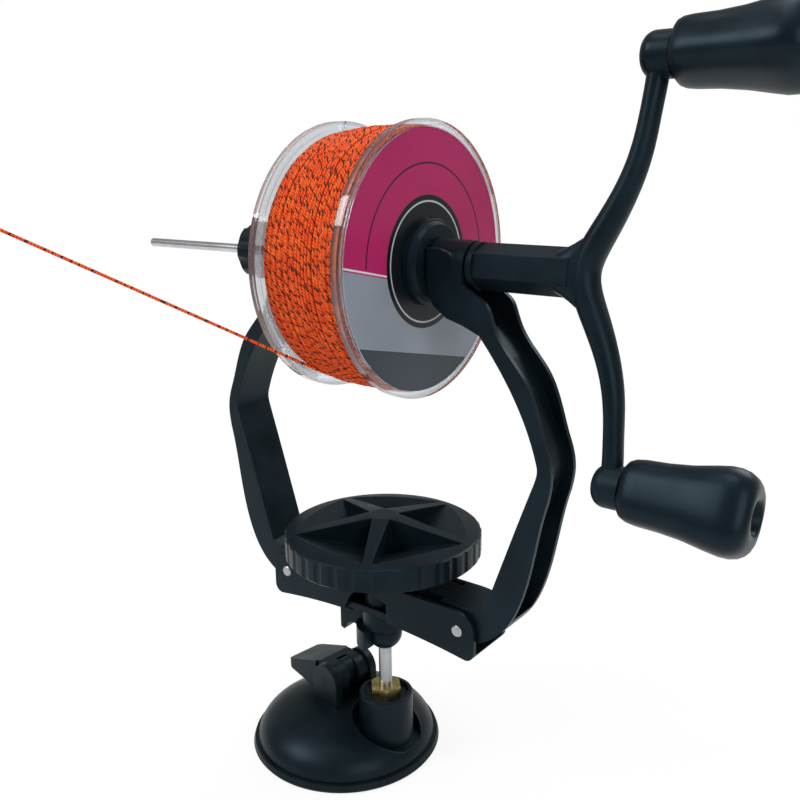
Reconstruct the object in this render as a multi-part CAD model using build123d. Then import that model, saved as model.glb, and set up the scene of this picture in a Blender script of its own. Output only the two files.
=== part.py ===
from build123d import *
import math
import os

os.makedirs("parts", exist_ok=True)

# Fishing line winder: a spool turns between two arms that pivot on a bracket, which sits on a ball
# on top of a suction cup. Millimetres, +Z up, +X towards the crank, origin at the middle of the
# suction cup's sole.

# --- clearances ---
RUN_GAP = 0.05  # radial, a shaft turning in its bore
FACE_GAP = 0.4  # between faces that pass each other
ROCK_GAP = 0.9  # beside a head that rocks on its bush
SEAT_GAP = 0.05  # between the spool and the cone that clamps it

# --- suction cup and housing ---
CUP_R = 45.0
CUP_LIP_H = 3.5
CUP_SOLE_W = 4.0  # flat ring of the lip that meets the table
CUP_CAVITY_H = 2.0
CUP_WALL = 2.4
CUP_PAD_R = 11.0
CUP_PAD_TOP = 6.0
DOME_R = 42.5
DOME_TOP = 23.0
DOME_WALL = 3.0
BARREL_R = 12.5
BARREL_TOP = 33.5
BARREL_RIM_DEPTH = 1.6
BARREL_RIM_WALL = 2.0
SCOOP_GAP = 3.5  # dished relief round the barrel
SCOOP_FLOOR = 9.5
GUIDE_R = 7.0  # tube inside the dome that guides the stem
GUIDE_BOTTOM = 15.0

# --- lever ---
LEVER_Z = 34.0
LEVER_TURN = -8.2  # degrees, the hinge line is turned this far from the Y axis
HUB_R = 7.0
HUB_HALF = 8.8
EAR_R = 8.2
EAR_T = 3.6
LEVER_PIN_R = 2.0
PADDLE_REACH = 32.0
PADDLE_HALF = 10.0
PADDLE_DROOP = 9.0  # degrees
PADDLE_CORNER = 5.0
STEM_R = 2.4
STEM_EYE_T = 5.0
STEM_EYE_R = 4.8
STEM_TRAVEL = 2.0
STEM_FOOT_R = 5.5
STEM_FOOT_T = 2.0

# --- stud and ball ---
STUD_X = 25.0
STUD_R = 3.0
STUD_BOTTOM = 14.0
INSERT_R = 7.0
INSERT_BOTTOM = 12.0
NUT_FLATS = 13.0
NUT_H = 5.0
BALL_R = 8.0
BALL_Z = 64.0

# --- bracket ---
BRACKET_HALF = 56.0
BRACKET_W = 25.4
BRACKET_WALL = 2.1
BRACKET_FLOOR = 3.0
BRACKET_LOW = 72.3  # underside at the ends
BRACKET_ARCH = 4.5  # rise of the underside at the middle
BRACKET_TOP = 94.0
BRACKET_CORNER = 8.0
BRACKET_FOOT_R = 4.0  # lower corners
NOTCH_LEFT = 13.0  # arched opening in the front wall
NOTCH_RIGHT = 11.0
NOTCH_TOP = 88.0
SOCKET_R = 10.0
SOCKET_LOW = 68.0
BOSS_R = 9.0
BOSS_TOP = 91.0
CLAW_R = 13.0
CLAW_LOW = 59.0
CLAW_REACH = 23.5
CLAW_T = 7.0
PIN_X = BRACKET_HALF - 8.0
PIN_Z = 85.1
PIN_R = 2.5
PIN_PROUD = 0.7
BOLT_R = 4.0
BOLT_HEAD_R = 6.5
BOLT_HEAD_T = 4.0

# --- width knob ---
KNOB_R = 43.5
KNOB_LOW = 104.0
KNOB_RIM_TOP = 114.4
KNOB_HUB_TOP = 121.0
KNOB_HUB_R = 10.0
KNOB_HUB_LOW = 98.8
KNOB_SPOKES = 5
KNOB_FIRST_SPOKE = 10.5  # degrees
KNOB_SPOKE_W = 7.5
KNOB_FLUTES = 36
KNOB_POCKET_REACH = 0.76  # share of the radius where the pockets run out
KNOB_FLUTE_R = 5.0
KNOB_FLUTE_DEPTH = 0.5
WASHER_R = 12.0
WASHER_T = 2.0

# --- arms ---
ARM_W = 20.4
ARM_WEB = 2.4
ARM_FLANGE = 2.2
ARM_LEAN = 1.2  # degrees, both arms lean towards the crank
EYE_R = 6.5
KNEE_REACH = 37.7  # from the pivot out to the knee
HEEL_W = 13.0
HEEL_TIP_X = 11.0
HEEL_TOP = 95.0
BOSS_TUBE_R = 9.5
BOSS_TUBE_L = 16.0
SEAT_R = 7.5
BUSH_R = 6.75
BUSH_L = 10.0

# --- spindle line ---
SPINDLE_Z = 233.0
ROD_R = 2.0
ROD_LEFT = 144.5  # free end, from the stud's axis
HEAD_GAP = 1.0  # between a cone's flange and the boss beside it
CONE_FLANGE_R = 17.0
CONE_FLANGE_T = 5.6
CONE_STEP = 2.0
CONE_NOSE_L = 11.0
CONE_NOSE_R = 7.5
SLEEVE_R = 9.0  # corner radius of the six-sided crank sleeve
SLEEVE_END = 89.5
COLLAR_R = 9.2
COLLAR_T = 2.6
LOBE_NUT_R = 12.6
LOBE_NUT_L = 18.0
LOBE_NUT_LEFT = 71.5
LOBES = 8
LOBE_CUT_R = 4.0
NUT_HUB_R = 8.0

# --- spool ---
SPOOL_R = 54.4
SPOOL_W = 44.4
FLANGE_PLATE = 1.4
FLANGE_INSET = 0.8
RIM_W = 3.0
RIM_T = 3.4
SPOOL_TUBE_R = 16.5
SPOOL_TUBE_WALL = 2.0
SPOOL_BORE_R = 12.4
SLIT_W = 0.8
SLIT_DEPTH = 4.0
LABEL_T = 0.25
LINE_D = 1.25
TURNS = 23
WIND_R_LEFT = SPOOL_R - 5.5  # middle of the outer layer of line
WIND_R_MID = SPOOL_R - 3.2
WIND_SIDE_GAP = 0.6
WIND_CORE_GAP = 0.08

# --- crank and handles ---
CRANK_R = 72.7
CRANK_LEAN = 8.9  # degrees, where the crank stopped
CRANK_HUB_X = SLEEVE_END + 3.5  # middle of the bar at its hub
CRANK_DISH = 18.0  # the bar's ends lie this much farther out
CRANK_DISH_R = 28.0
CRANK_THICK = (5.2, 3.5)  # half thickness at the hub and the ends
CRANK_WIDE = (6.5, 4.4)  # half width there
CRANK_TAPER_R = 30.0
KNUCKLE_R = 7.8
KNUCKLE_L = 11.0
KNUCKLE_X = CRANK_HUB_X + CRANK_DISH - KNUCKLE_L / 2
GRIP_L = 44.5
GRIP_R = 15.0  # half width at the fattest place
GRIP_CORNER = 0.62  # corner radius as a share of the half thickness
GRIP_SECTIONS = (  # share of the length, half width and half thickness as shares of GRIP_R
    (0.0, 0.66, 0.58),
    (0.045, 0.725, 0.625),
    (0.13, 0.76, 0.645),
    (0.32, 0.785, 0.66),
    (0.5, 0.84, 0.705),
    (0.68, 0.94, 0.78),
    (0.83, 1.0, 0.82),
    (0.93, 0.96, 0.785),
    (0.98, 0.84, 0.7),
    (1.0, 0.72, 0.61),
)
GRIP_TURNS = (60.0, -28.0)  # top and bottom, degrees
GRIP_BORE_R = 5.5
GRIP_BORE_DEPTH = 8.0
SPINDLE_PIN_R = 2.5
SPINDLE_HEAD_R = 4.6
SPINDLE_HEAD_T = 3.0

# --- free line ---
FREE_LINE_D = 1.2
LOOP_R = 4.0
KNOT_R = 1.5

HEAD_REACH = SPOOL_W / 2 - FLANGE_INSET + CONE_FLANGE_T + HEAD_GAP + BOSS_TUBE_L / 2
SPOOL_X = STUD_X + math.tan(math.radians(ARM_LEAN)) * (SPINDLE_Z - PIN_Z)
RIGHT_FACE = SPOOL_X + SPOOL_W / 2
LEFT_FACE = SPOOL_X - SPOOL_W / 2
HEAD_RIGHT = SPOOL_X + HEAD_REACH
HEAD_LEFT = SPOOL_X - HEAD_REACH
STUD_AXIS = Pos(STUD_X, 0, 0)


def save(shape, name):
    shape.label = name
    export_step(shape, f"parts/{name}.step")


def tube(outer, inner, low, high):
    """A plain ring round the Z axis; inner 0 makes it solid."""
    ring = Pos(0, 0, low) * Cylinder(outer, high - low, align=(Align.CENTER, Align.CENTER, Align.MIN))
    if inner > 0:
        ring -= Pos(0, 0, low - 1) * Cylinder(inner, high - low + 2, align=(Align.CENTER, Align.CENTER, Align.MIN))
    return ring


def x_tube(outer, inner, start, end):
    """The same ring laid along X on the spindle's line, from start to end in row coordinates."""
    return Pos(start, 0, SPINDLE_Z) * Rot(0, 90, 0) * tube(outer, inner, 0, end - start)


def spun_about_x(outline):
    """Turns an (x, radius) outline round the spindle's line."""
    face = make_face(Polyline(*[(x, r) for x, r in outline], close=True))
    return Pos(0, 0, SPINDLE_Z) * revolve(face, Axis.X)


def side_plate(outline, width):
    """Extrudes an (x, z) outline to both sides of the XZ plane."""
    face = make_face(Plane.XZ * outline)
    return extrude(face, width / 2, both=True)


# --- suction cup, housing and lever ---

def suction_cup():
    sole_in = CUP_R - CUP_SOLE_W
    seat_in = DOME_R - 2 * DOME_WALL
    outline = Polyline(
        (0, CUP_CAVITY_H),
        (CUP_PAD_R, CUP_CAVITY_H),
        (sole_in, 0),
        (CUP_R - 0.8, 0),
        (CUP_R, 1.2),
        (CUP_R - 0.8, CUP_LIP_H),
        (seat_in, CUP_LIP_H),
        (CUP_PAD_R, CUP_CAVITY_H + CUP_WALL),
        (CUP_PAD_R - 0.6, CUP_PAD_TOP),
        (0, CUP_PAD_TOP),
        close=True,
    )
    return revolve(make_face(Plane.XZ * outline), Axis.Z)


def half_ellipsoid(radius, low, top):
    rise = top - low
    arc = EllipticalCenterArc((0, low), radius, rise, start_angle=0, arc_size=90)
    outline = arc + Line((0, top), (0, low)) + Line((0, low), (radius, low))
    return revolve(make_face(Plane.XZ * outline), Axis.Z)


def coned_hollow(radius, low, top):
    """The room under the shell, as cones that stay inside an ellipse."""
    marks = [math.radians(a) for a in (0, 22, 42, 60, 76, 90)]
    rim = [(radius * math.cos(a), low + (top - low) * math.sin(a)) for a in marks]
    outline = Polyline(*rim, (0, low), close=True)
    return revolve(make_face(Plane.XZ * outline), Axis.Z)


LEVER_FRAME = Pos(0, 0, LEVER_Z) * Rot(0, 0, LEVER_TURN)  # its Y axis is the hinge line


def hinge_disc(radius, from_y, to_y):
    return LEVER_FRAME * Pos(0, from_y, 0) * Rot(-90, 0, 0) * tube(radius, 0, 0, to_y - from_y)


def dome_housing():
    shell = half_ellipsoid(DOME_R, CUP_LIP_H, DOME_TOP)
    cavity = coned_hollow(DOME_R - DOME_WALL, CUP_LIP_H, DOME_TOP - DOME_WALL)
    scoop_r = BARREL_R + SCOOP_GAP
    shell -= STUD_AXIS * tube(scoop_r, 0, SCOOP_FLOOR, BARREL_TOP)
    cavity -= STUD_AXIS * tube(scoop_r + DOME_WALL, 0, SCOOP_FLOOR - DOME_WALL, BARREL_TOP)
    guide = tube(GUIDE_R, 0, GUIDE_BOTTOM, DOME_TOP - DOME_WALL)
    housing = shell - (cavity - guide)
    barrel = STUD_AXIS * tube(BARREL_R, 0, SCOOP_FLOOR - 1, BARREL_TOP)
    barrel = fillet(barrel.edges().group_by(Axis.Z)[-1], 0.8)
    housing += barrel
    rim_floor = BARREL_TOP - BARREL_RIM_DEPTH
    housing -= STUD_AXIS * tube(BARREL_R - BARREL_RIM_WALL, 0, rim_floor, BARREL_TOP + 1)
    housing -= STUD_AXIS * tube(INSERT_R, 0, INSERT_BOTTOM, BARREL_TOP)
    ear_start = HUB_HALF + FACE_GAP
    ear_foot = DOME_TOP - DOME_WALL
    for side in (-1, 1):
        start = ear_start if side > 0 else -ear_start - EAR_T
        housing += hinge_disc(EAR_R, start, start + EAR_T)
        foot = Box(2 * EAR_R, EAR_T, LEVER_Z - ear_foot, align=(Align.CENTER, Align.MIN, Align.MIN))
        housing += LEVER_FRAME * Pos(0, start, ear_foot - LEVER_Z) * foot
    housing -= hinge_disc(LEVER_PIN_R + RUN_GAP, -HUB_HALF - 9, HUB_HALF + 9)
    housing -= tube(STEM_R + 0.3, 0, 0, DOME_TOP + 1)
    return housing


def lever_pin():
    half = HUB_HALF + FACE_GAP + EAR_T
    return hinge_disc(LEVER_PIN_R, -half, half)


def cup_stem():
    """Pulls the cup's middle up; its slotted eye rides on the lever's pin."""
    foot_low = CUP_PAD_TOP + STEM_TRAVEL + FACE_GAP
    stem = tube(STEM_FOOT_R, 0, foot_low, foot_low + STEM_FOOT_T)
    stem += tube(STEM_R, 0, foot_low, LEVER_Z - 2)
    stem = LEVER_FRAME.inverse() * stem
    half = STEM_EYE_T / 2
    for lift in (0, STEM_TRAVEL + 0.2):
        stem += Pos(0, -half, lift) * Rot(-90, 0, 0) * tube(STEM_EYE_R, 0, 0, STEM_EYE_T)
    slot_r = LEVER_PIN_R + 2 * RUN_GAP
    for lift in (0, STEM_TRAVEL + 0.2):
        stem -= Pos(0, -half - 1, lift) * Rot(-90, 0, 0) * tube(slot_r, 0, 0, STEM_EYE_T + 2)
    slot_h = STEM_TRAVEL + 0.2
    stem -= Pos(0, 0, slot_h / 2) * Box(2 * slot_r, STEM_EYE_T + 2, slot_h)
    return LEVER_FRAME * stem


def cam_lever():
    """Two hub discs with the stem's eye between them, joined by a wedge-shaped paddle."""
    droop = math.radians(PADDLE_DROOP)
    tip_x = -PADDLE_REACH * math.cos(droop)
    tip_z = -PADDLE_REACH * math.sin(droop)
    outline = Polyline(
        (0, HUB_R),
        (-HUB_R - 1.0, HUB_R - 0.6),
        (tip_x, tip_z + 3.2),
        (tip_x - 0.8, tip_z + 1.2),
        (tip_x, tip_z - 0.4),
        (-HUB_R - 5.0, -HUB_R - 2.0),
        (-HUB_R + 1.0, -HUB_R - 2.2),
        (0, -HUB_R),
        close=True,
    )
    paddle = side_plate(outline, 2 * PADDLE_HALF)
    paddle = fillet(paddle.edges().filter_by(Axis.Y).group_by(Axis.X)[0], 0.5)
    room = HUB_R + PADDLE_REACH + 1.0
    plan = RectangleRounded(room, 2 * PADDLE_HALF, PADDLE_CORNER)
    lever = paddle & Pos(HUB_R - room / 2, 0, -2 * HUB_R) * extrude(plan, 4 * HUB_R)
    hub = Pos(0, -HUB_HALF, 0) * Rot(-90, 0, 0) * tube(HUB_R, 0, 0, 2 * HUB_HALF)
    side_room = Box(2 * EAR_R + 3, 10, 60)
    for side in (-1, 1):
        lever -= Pos(0, side * (HUB_HALF + 5), 0) * side_room
    lever += hub
    lever -= Pos(0, -HUB_HALF - 1, 0) * Rot(-90, 0, 0) * tube(LEVER_PIN_R + RUN_GAP, 0, 0, 2 * HUB_HALF + 2)
    eye_room = STEM_EYE_R + STEM_TRAVEL + 0.6
    gap = STEM_EYE_T + 2 * FACE_GAP
    lever -= Pos(0, -gap / 2, 0) * Rot(-90, 0, 0) * tube(eye_room, 0, 0, gap)
    lever -= Pos(0, 0, -HUB_R) * Box(2 * eye_room, gap, 2 * HUB_R)
    return LEVER_FRAME * lever


def barrel_insert():
    top = BARREL_TOP - BARREL_RIM_DEPTH
    return STUD_AXIS * tube(INSERT_R - RUN_GAP, STUD_R + RUN_GAP, INSERT_BOTTOM + FACE_GAP, top)


def hex_prism(flats, low, height):
    corner = flats / math.sqrt(3)
    return Pos(0, 0, low) * extrude(RegularPolygon(corner, 6), height)


def lock_nut():
    low = BARREL_TOP - BARREL_RIM_DEPTH
    nut = hex_prism(NUT_FLATS, low, NUT_H)
    crown = Cone(
        NUT_FLATS / math.sqrt(3) + 3.2,
        NUT_FLATS / 2 - 0.2,
        NUT_H,
        align=(Align.CENTER, Align.CENTER, Align.MIN),
    )
    nut &= Pos(0, 0, low + 0.8) * crown + tube(20, 0, low, low + 0.8)
    nut -= tube(STUD_R + RUN_GAP, 0, low - 1, low + NUT_H + 1)
    return STUD_AXIS * Rot(0, 0, 12) * nut


# --- stud, ball and bracket ---

def stud():
    return STUD_AXIS * tube(STUD_R, 0, STUD_BOTTOM, BALL_Z)


def ball_nut():
    """Dark ball screwed on the stud; the bracket's socket sits on it."""
    ball = Pos(0, 0, BALL_Z) * Sphere(BALL_R)
    ball -= tube(STUD_R, 0, 0, BALL_Z)
    return STUD_AXIS * ball


def bracket():
    middle = BRACKET_LOW + BRACKET_ARCH
    half = BRACKET_HALF
    drop = BRACKET_CORNER
    outline = ThreePointArc((-half, BRACKET_LOW), (0, middle), (half, BRACKET_LOW))
    outline += Line((half, BRACKET_LOW), (half, BRACKET_TOP - drop))
    outline += Spline(
        (half, BRACKET_TOP - drop),
        (half - drop / 2, BRACKET_TOP - 1.6),
        (half - 2 * drop, BRACKET_TOP),
        tangents=((0, 1), (-1, 0)),
    )
    outline += Line((half - 2 * drop, BRACKET_TOP), (-half + 2 * drop, BRACKET_TOP))
    outline += Spline(
        (-half + 2 * drop, BRACKET_TOP),
        (-half + drop / 2, BRACKET_TOP - 1.6),
        (-half, BRACKET_TOP - drop),
        tangents=((-1, 0), (0, -1)),
    )
    outline += Line((-half, BRACKET_TOP - drop), (-half, BRACKET_LOW))
    body = side_plate(outline, BRACKET_W)
    body = fillet(body.edges().filter_by(Axis.Y).group_by(Axis.Z)[0], BRACKET_FOOT_R)
    floor_end = BRACKET_LOW + BRACKET_FLOOR
    floor_mid = middle + BRACKET_FLOOR
    far = half + 1
    room = ThreePointArc((-far, floor_end), (0, floor_mid), (far, floor_end))
    room += Polyline((far, floor_end), (far, BRACKET_TOP + 9), (-far, BRACKET_TOP + 9), (-far, floor_end))
    body -= side_plate(room, BRACKET_W - 2 * BRACKET_WALL)
    notch = Polyline((-NOTCH_LEFT, middle - 9), (-NOTCH_LEFT, middle), (-NOTCH_LEFT + 3, NOTCH_TOP - 5))
    notch += Spline(
        (-NOTCH_LEFT + 3, NOTCH_TOP - 5),
        (-NOTCH_LEFT / 2, NOTCH_TOP - 1.5),
        (1, NOTCH_TOP),
        (NOTCH_RIGHT, NOTCH_TOP - 2.5),
    )
    notch += Polyline((NOTCH_RIGHT, NOTCH_TOP - 2.5), (NOTCH_RIGHT, middle - 9), (-NOTCH_LEFT, middle - 9))
    front = Pos(0, -BRACKET_W / 2 + BRACKET_WALL / 2, 0)
    body -= front * side_plate(notch, BRACKET_WALL + 0.02)
    body += tube(SOCKET_R, 0, SOCKET_LOW, middle + 1)
    body += tube(BOSS_R, 0, middle, BOSS_TOP)
    body -= Pos(0, 0, BALL_Z) * Sphere(BALL_R + RUN_GAP)
    head_low = middle + 1.5
    body -= tube(BOLT_HEAD_R, 0, head_low, head_low + BOLT_HEAD_T)
    body -= tube(BOLT_R, 0, head_low, BOSS_TOP + 1)
    for side in (-1, 1):
        bore = Pos(side * PIN_X, 0, PIN_Z) * Rot(90, 0, 0) * Cylinder(PIN_R + RUN_GAP, 2 * BRACKET_W)
        body -= bore
    return STUD_AXIS * body


def ball_claw():
    """Half collar that holds the ball from below, with a hooked wing to turn it by."""
    collar = tube(CLAW_R, 0, CLAW_LOW, SOCKET_LOW)
    collar -= Pos(CLAW_R, 0, BALL_Z) * Box(2 * CLAW_R + 3, 4 * CLAW_R, 40)
    wing = Spline(
        (-CLAW_R + 1.5, BALL_Z - 1.5),
        (-CLAW_R - 2.6, BALL_Z + 0.6),
        (-CLAW_REACH + 2, CLAW_LOW + 0.6),
    )
    wing += Polyline(
        (-CLAW_REACH + 2, CLAW_LOW + 0.6),
        (-CLAW_REACH, CLAW_LOW + 1.4),
        (-CLAW_REACH, BRACKET_LOW - 1.2),
        (-CLAW_R + 1.5, BRACKET_LOW - 1.2),
        (-CLAW_R + 1.5, BALL_Z - 1.5),
    )
    collar += side_plate(wing, CLAW_T)
    saddle_h = BRACKET_LOW + BRACKET_ARCH - FACE_GAP - SOCKET_LOW
    saddle = Box(CLAW_R - 1, CLAW_T, saddle_h, align=(Align.CENTER, Align.CENTER, Align.MIN))
    collar += Pos(-CLAW_R / 2 - 3, 0, SOCKET_LOW) * saddle - tube(SOCKET_R, 0, SOCKET_LOW - 8, BOSS_TOP)
    collar -= Pos(0, 0, BALL_Z) * Sphere(BALL_R + RUN_GAP)
    collar -= tube(STUD_R + 3.6, 0, CLAW_LOW - 1, BALL_Z)
    return STUD_AXIS * collar


def clamp_bolt():
    head_low = BRACKET_LOW + BRACKET_ARCH + 1.5
    bolt = tube(BOLT_HEAD_R, 0, head_low, head_low + BOLT_HEAD_T)
    bolt += tube(BOLT_R, 0, head_low, KNOB_RIM_TOP)
    return STUD_AXIS * bolt


def pivot_pin(side):
    half = BRACKET_W / 2 + PIN_PROUD
    pin = Pos(0, half, 0) * Rot(90, 0, 0) * tube(PIN_R, 0, 0, 2 * half)
    pin = chamfer(pin.edges().filter_by(GeomType.CIRCLE), 0.4)
    return STUD_AXIS * Pos(side * PIN_X, 0, PIN_Z) * pin


# --- width knob ---

def knob_pocket(turn):
    """One hollow between two spokes; its floor climbs from the hub to the rim."""
    deep = KNOB_LOW + 3.4
    slope = (KNOB_RIM_TOP + 0.6 - deep) / (KNOB_R * KNOB_POCKET_REACH - KNOB_HUB_R)
    far = KNOB_R + 10
    outline = Polyline(
        (KNOB_HUB_R * 0.7, deep),
        (KNOB_HUB_R, deep),
        (far, deep + slope * (far - KNOB_HUB_R)),
        (far, KNOB_HUB_TOP + 40),
        (KNOB_HUB_R * 0.7, KNOB_HUB_TOP + 40),
        close=True,
    )
    slab = side_plate(outline, 4 * KNOB_R)
    half_angle = math.pi / KNOB_SPOKES
    inner = KNOB_SPOKE_W / 2 / math.sin(half_angle)
    reach = KNOB_R * 1.02
    spread = math.radians(2.0)
    corner_x = reach * math.cos(half_angle - spread)
    corner_y = reach * math.sin(half_angle - spread)
    wedge = Polyline((inner, 0), (corner_x, -corner_y), (far, 0), (corner_x, corner_y), close=True)
    prism = Pos(0, 0, KNOB_LOW) * extrude(make_face(wedge), 60)
    return Rot(0, 0, turn) * (slab & prism)


def width_knob():
    outline = Polyline(
        (0, KNOB_HUB_LOW),
        (KNOB_HUB_R, KNOB_HUB_LOW),
        (KNOB_HUB_R, KNOB_LOW + 1.2),
        (KNOB_R - 4, KNOB_LOW + 1.2),
        (KNOB_R - 4, KNOB_LOW),
        (KNOB_R - 0.8, KNOB_LOW),
        (KNOB_R, KNOB_LOW + 0.8),
        (KNOB_R, KNOB_RIM_TOP - 0.8),
        (KNOB_R - 1.0, KNOB_RIM_TOP),
        (KNOB_HUB_R * 0.6, KNOB_HUB_TOP),
        (0, KNOB_HUB_TOP),
        close=True,
    )
    knob = revolve(make_face(Plane.XZ * outline), Axis.Z)
    step = 360 / KNOB_SPOKES
    for i in range(KNOB_SPOKES):
        knob -= knob_pocket(KNOB_FIRST_SPOKE + (i + 0.5) * step)
    flute = Pos(KNOB_R + KNOB_FLUTE_R - KNOB_FLUTE_DEPTH, 0, 0) * tube(KNOB_FLUTE_R, 0, KNOB_LOW - 1, KNOB_HUB_TOP)
    knob -= [Rot(0, 0, i * 360 / KNOB_FLUTES) * flute for i in range(KNOB_FLUTES)]
    knob -= tube(BOLT_R + RUN_GAP + 0.25, 0, KNOB_HUB_LOW - 1, KNOB_RIM_TOP + 1.5)
    knob -= hex_prism(NUT_FLATS, KNOB_HUB_LOW - 1, 7.5)
    return STUD_AXIS * knob


def knob_insert():
    nut = hex_prism(NUT_FLATS - 2 * RUN_GAP, KNOB_HUB_LOW, 6.0)
    return STUD_AXIS * (nut - tube(BOLT_R + RUN_GAP, 0, KNOB_HUB_LOW - 1, KNOB_HUB_LOW + 7))


def thrust_washer():
    low = KNOB_HUB_LOW - FACE_GAP - WASHER_T
    return STUD_AXIS * tube(WASHER_R, BOLT_R + 0.3, low, low + WASHER_T)


# --- arms ---

def leg_points(*shares):
    """(out, up) shares of the knee's reach and of the pivot-to-spindle height, as (x, z)."""
    rise = SPINDLE_Z - PIN_Z
    return [(PIN_X + out * KNEE_REACH, PIN_Z + up * rise) for out, up in shares]


def pushed_out(points, amount):
    """The same points moved along the local normal, towards the leg's outer side."""
    moved = []
    for i in range(1, len(points) - 1):
        dx = points[i + 1][0] - points[i - 1][0]
        dz = points[i + 1][1] - points[i - 1][1]
        size = math.hypot(dx, dz)
        moved.append((points[i][0] + amount * dz / size, points[i][1] - amount * dx / size))
    return moved


def head_point(across, up):
    return (HEAD_REACH + across, SPINDLE_Z + up)


def arm(side, name):
    """One pressed channel: eye and heel at the foot, open trough at the head with a boss tube."""
    shin_low = (PIN_X + EYE_R + 1.0, PIN_Z - 4.2)
    rim_points = leg_points((0.546, 0.043), (0.714, 0.131), (0.865, 0.304), (0.971, 0.432))
    knee_points = leg_points((1.0, 0.496), (0.934, 0.567))
    thigh_mid = leg_points((0.663, 0.736))[0]
    thigh_top = head_point(24.8, -24.0)
    low = leg_points((0.292, 0.08), (0.377, 0.145), (0.531, 0.263), (0.684, 0.379), (0.82, 0.479))
    knee_in = leg_points((0.846, 0.513))[0]
    high = leg_points((0.812, 0.547), (0.552, 0.689), (0.345, 0.767)) + [head_point(17.0, -24.5)]

    rim = Spline(shin_low, *rim_points)
    knee = Spline(rim_points[-1], *knee_points, tangents=((0.2, 1), (-0.42, 1)))
    thigh = Spline(knee_points[-1], thigh_mid, thigh_top, tangents=((-0.42, 1), (-0.6, 1)))
    shoulder = Spline(
        thigh_top,
        head_point(22.0, -18.0),
        head_point(19.6, -13.0),
        head_point(14.6, -9.6),
        head_point(8.4, -6.4),
        tangents=((-0.6, 1), (-1, 0.5)),
    )
    cheek = Polyline(
        head_point(8.4, -6.4),
        head_point(8.0, -1.0),
        head_point(2.5, 5.2),
        head_point(-1.5, 6.4),
        head_point(-7.5, 6.4),
        head_point(-7.5, -8.0),
        head_point(-4.5, -15.0),
        head_point(2.0, -19.5),
        head_point(9.5, -21.5),
        high[-1],
    )
    inner_knee = Spline(high[0], knee_in, low[-1], tangents=((0.3, -1), (-0.3, -1)))
    foot = Polyline(
        low[0],
        (PIN_X + 7.0, HEEL_TOP - 0.4),
        (HEEL_TIP_X, HEEL_TOP),
        (HEEL_TIP_X, HEEL_TOP - 4.6),
        (PIN_X - 6.0, PIN_Z - 4.6),
        (PIN_X - 2.0, PIN_Z - EYE_R),
        (PIN_X + 2.5, PIN_Z - EYE_R + 0.2),
        shin_low,
    )
    outline = rim + knee + thigh + shoulder + cheek + Spline(*reversed(high)) + inner_knee
    outline += Spline(*reversed(low)) + foot
    body = side_plate(outline, ARM_W)

    # the trough follows the inner side at the web's thickness and is open on the outer side
    floor = pushed_out(low + [knee_in] + high + [head_point(9.5, -21.5)], ARM_WEB)
    trough = Polyline(
        (PIN_X + EYE_R + 4.5 + ARM_WEB, PIN_Z + 10.0),
        *floor,
        head_point(12.0, -18.2),
        head_point(3.0, -16.6),
        head_point(-1.6, -12.2),
        head_point(-4.6, -6.0),
        head_point(-4.6, 20.0),
        head_point(2 * KNEE_REACH, 20.0),
        (HEAD_REACH + 2 * KNEE_REACH, PIN_Z + 10.0),
        close=True,
    )
    body -= side_plate(trough, ARM_W - 2 * ARM_FLANGE)
    heel_side = (ARM_W - HEEL_W) / 2
    for edge in (-1, 1):
        shave = Box(PIN_X + 10, heel_side, 30, align=(Align.MIN, Align.CENTER, Align.CENTER))
        body -= Pos(-20, edge * (ARM_W - heel_side) / 2, HEEL_TOP - 4) * shave
    body += x_tube(BOSS_TUBE_R, 0, HEAD_REACH - BOSS_TUBE_L / 2, HEAD_REACH + BOSS_TUBE_L / 2)
    body -= x_tube(SEAT_R, 0, HEAD_REACH - 30, HEAD_REACH + 30)
    body -= Pos(PIN_X, 0, PIN_Z) * Rot(90, 0, 0) * Cylinder(PIN_R + 2 * RUN_GAP, 2 * ARM_W)
    if side < 0:
        body = mirror(body, Plane.YZ)
    pivot = Pos(side * PIN_X, 0, PIN_Z)
    body = pivot * Rot(0, ARM_LEAN, 0) * pivot.inverse() * body
    body = STUD_AXIS * body
    body.label = name
    return body


def rocking_bush(middle):
    """Barrel-shaped bush: the head can rock on it while the rod stays level."""
    ball = Pos(middle, 0, SPINDLE_Z) * Sphere(BUSH_R)
    slab = x_tube(2 * BUSH_R, ROD_R + RUN_GAP, middle - BUSH_L / 2, middle + BUSH_L / 2)
    return ball & slab


# --- spindle ---

def axle_rod():
    rod = x_tube(ROD_R, 0, STUD_X - ROD_LEFT, SLEEVE_END + STUD_X - 3)
    return chamfer(rod.edges().filter_by(GeomType.CIRCLE).sort_by(Axis.X)[0], 0.6)


def centring_cone(face, toward):
    """Stepped flange that presses on the spool, with a nose in its bore; toward is the nose's way."""
    outline = [
        (0.0, ROD_R),
        (0.0, CONE_FLANGE_R - 2.0),
        (CONE_STEP, CONE_FLANGE_R - 1.2),
        (CONE_STEP + 0.3, CONE_FLANGE_R),
        (CONE_FLANGE_T, CONE_FLANGE_R),
        (CONE_FLANGE_T, SPOOL_BORE_R - 0.3),
        (CONE_FLANGE_T + CONE_NOSE_L, CONE_NOSE_R),
        (CONE_FLANGE_T + CONE_NOSE_L, ROD_R),
    ]
    return spun_about_x([(face + toward * (x - CONE_FLANGE_T), r) for x, r in outline])


def drive_cone():
    return centring_cone(RIGHT_FACE - FLANGE_INSET, -1)


def idle_cone():
    return centring_cone(LEFT_FACE + FLANGE_INSET - SEAT_GAP, 1)


def hex_sleeve(start, end):
    bar = extrude(RegularPolygon(SLEEVE_R, 6, rotation=0), end - start)
    return Pos(start, 0, SPINDLE_Z) * Rot(-CRANK_LEAN, 0, 0) * Rot(0, 90, 0) * bar


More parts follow.
